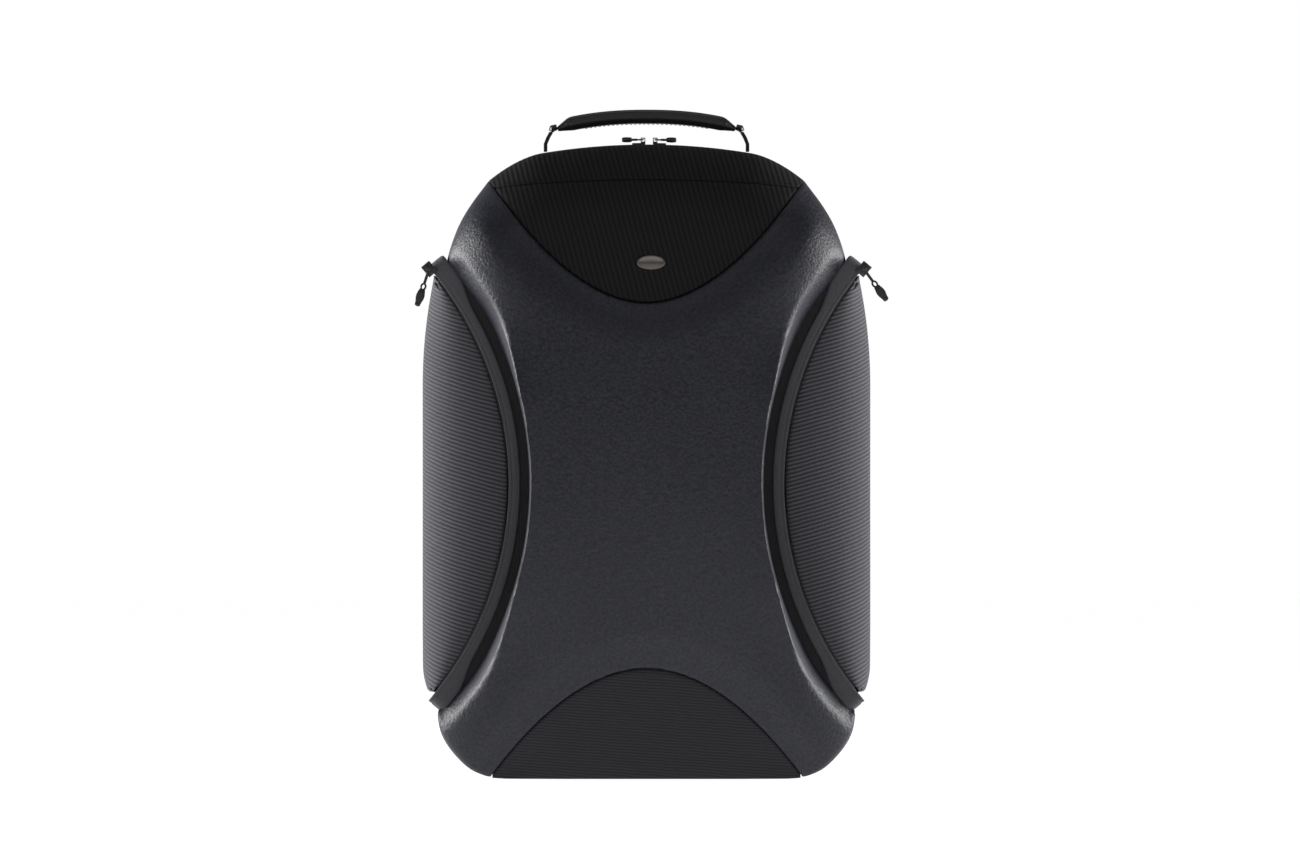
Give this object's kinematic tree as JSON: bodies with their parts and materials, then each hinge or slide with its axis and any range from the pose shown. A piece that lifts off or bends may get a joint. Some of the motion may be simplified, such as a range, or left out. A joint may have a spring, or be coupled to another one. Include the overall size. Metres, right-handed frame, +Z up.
{
  "type": "drone carrying case",
  "caption": "Hard-shell backpack case for a quadcopter, with a clamshell lid, two zipped side pockets, foam bays, a carry handle and shoulder straps.",
  "frame": {"origin": "on the flat bottom that the case stands on, midway across it, 55 mm behind the zip plane", "axes": "+X to the right of someone facing the front, +Y towards the straps, +Z up"},
  "size_m": [0.3631, 0.2742, 0.5151],
  "materials": {
    "shell": "matte",
    "panel_mesh": "matte",
    "side_mesh": "matte",
    "zip_tape": "matte",
    "webbing": "matte",
    "lining": "matte",
    "foam": "matte",
    "divider_fabric": "matte",
    "grip": "satin",
    "pad_fabric": "matte",
    "dark_metal": "satin",
    "black_plastic": "satin",
    "badge_metal": "satin"
  },
  "bodies": {
    "case": {"rear_tub": "shell", "back_frame_sheet": "black_plastic", "base_foam": "foam", "foam_wall": "foam", "top_divider": "divider_fabric", "bottom_divider": "divider_fabric", "cradle_left": "foam", "cradle_right": "foam", "cradle_top": "foam", "cradle_bottom": "foam", "battery_divider_1": "divider_fabric", "battery_divider_2": "divider_fabric", "battery_divider_3": "divider_fabric", "main_zip_case": "zip_tape", "hinge_strip_case": "webbing", "back_pad_left": "pad_fabric", "back_pad_right": "pad_fabric", "lumbar_pad": "pad_fabric", "strap_yoke": "webbing", "shoulder_strap_left": "pad_fabric", "shoulder_strap_right": "pad_fabric", "lower_webbing_left": "webbing", "lower_webbing_right": "webbing", "ladder_lock_left": "black_plastic", "ladder_lock_right": "black_plastic", "handle_anchor_left": "webbing", "handle_anchor_right": "webbing"},
    "lid": {"front_shell": "shell", "top_panel": "panel_mesh", "top_cap": "panel_mesh", "bottom_panel": "panel_mesh", "badge": "badge_metal", "main_zip_lid": "zip_tape", "hinge_strip_lid": "webbing", "pocket_band_left": "zip_tape", "pocket_band_right": "zip_tape", "pocket_liner_left": "lining", "pocket_liner_right": "lining"},
    "handle": {"handle_grip": "grip", "handle_webbing_left": "webbing", "handle_webbing_right": "webbing", "handle_ferrule_left": "dark_metal", "handle_ferrule_right": "dark_metal"},
    "cover_left": {"side_cover_left": "side_mesh", "cover_zip_left": "zip_tape"},
    "main_slider_left": {"main_slider_left": "dark_metal"},
    "main_pull_left": {"main_link_left": "dark_metal", "main_pull_left": "black_plastic"},
    "side_slider_left": {"side_slider_left": "dark_metal"},
    "side_pull_left": {"side_link_left": "dark_metal", "side_pull_left": "black_plastic"},
    "cover_right": {"side_cover_right": "side_mesh", "cover_zip_right": "zip_tape"},
    "main_slider_right": {"main_slider_right": "dark_metal"},
    "main_pull_right": {"main_link_right": "dark_metal", "main_pull_right": "black_plastic"},
    "side_slider_right": {"side_slider_right": "dark_metal"},
    "side_pull_right": {"side_link_right": "dark_metal", "side_pull_right": "black_plastic"}
  },
  "joints": [
    {"name": "lid_open", "type": "hinge", "parent": "case", "child": "lid", "pos_m": [0, -0.055, 0], "axis": [1, 0, 0], "range_deg": [0, 170]},
    {"name": "handle_fold", "type": "hinge", "parent": "case", "child": "handle", "pos_m": [0, -0.01, 0.4852], "axis": [1, 0, 0], "range_deg": [-65, 65]},
    {"name": "cover_left_open", "type": "hinge", "parent": "lid", "child": "cover_left", "pos_m": [-0.1712, -0.0593, 0.225], "axis": [0, 0, -1], "range_deg": [0, 100]},
    {"name": "cover_right_open", "type": "hinge", "parent": "lid", "child": "cover_right", "pos_m": [0.1712, -0.0593, 0.225], "axis": [0, 0, 1], "range_deg": [0, 100]},
    {"name": "main_slider_left_travel", "type": "hinge", "parent": "case", "child": "main_slider_left", "pos_m": [0, -0.055, 0], "axis": [0, 1, 0], "range_deg": [-8.5, 0]},
    {"name": "main_pull_left_flip", "type": "hinge", "parent": "main_slider_left", "child": "main_pull_left", "pos_m": [-0.00266, -0.055, 0.4898], "axis": [0, 1, 0], "range_deg": [0, 140]},
    {"name": "main_slider_right_travel", "type": "hinge", "parent": "case", "child": "main_slider_right", "pos_m": [0, -0.055, 0], "axis": [0, 1, 0], "range_deg": [0, 8]},
    {"name": "main_pull_right_flip", "type": "hinge", "parent": "main_slider_right", "child": "main_pull_right", "pos_m": [0.0067, -0.055, 0.48977], "axis": [0, 1, 0], "range_deg": [-140, 0]},
    {"name": "side_slider_left_travel", "type": "hinge", "parent": "lid", "child": "side_slider_left", "pos_m": [-0.3585, -0.117, 0.225], "axis": [0, 1, 0], "range_deg": [0, 80.6]},
    {"name": "side_pull_left_swing", "type": "hinge", "parent": "side_slider_left", "child": "side_pull_left", "pos_m": [-0.16554, -0.12085, 0.38864], "axis": [0, 1, 0], "range_deg": [-25, 90]},
    {"name": "side_slider_right_travel", "type": "hinge", "parent": "lid", "child": "side_slider_right", "pos_m": [0.3585, -0.117, 0.225], "axis": [0, -1, 0], "range_deg": [0, 80.6]},
    {"name": "side_pull_right_swing", "type": "hinge", "parent": "side_slider_right", "child": "side_pull_right", "pos_m": [0.16554, -0.12085, 0.38864], "axis": [0, -1, 0], "range_deg": [-50, 70]}
  ]
}
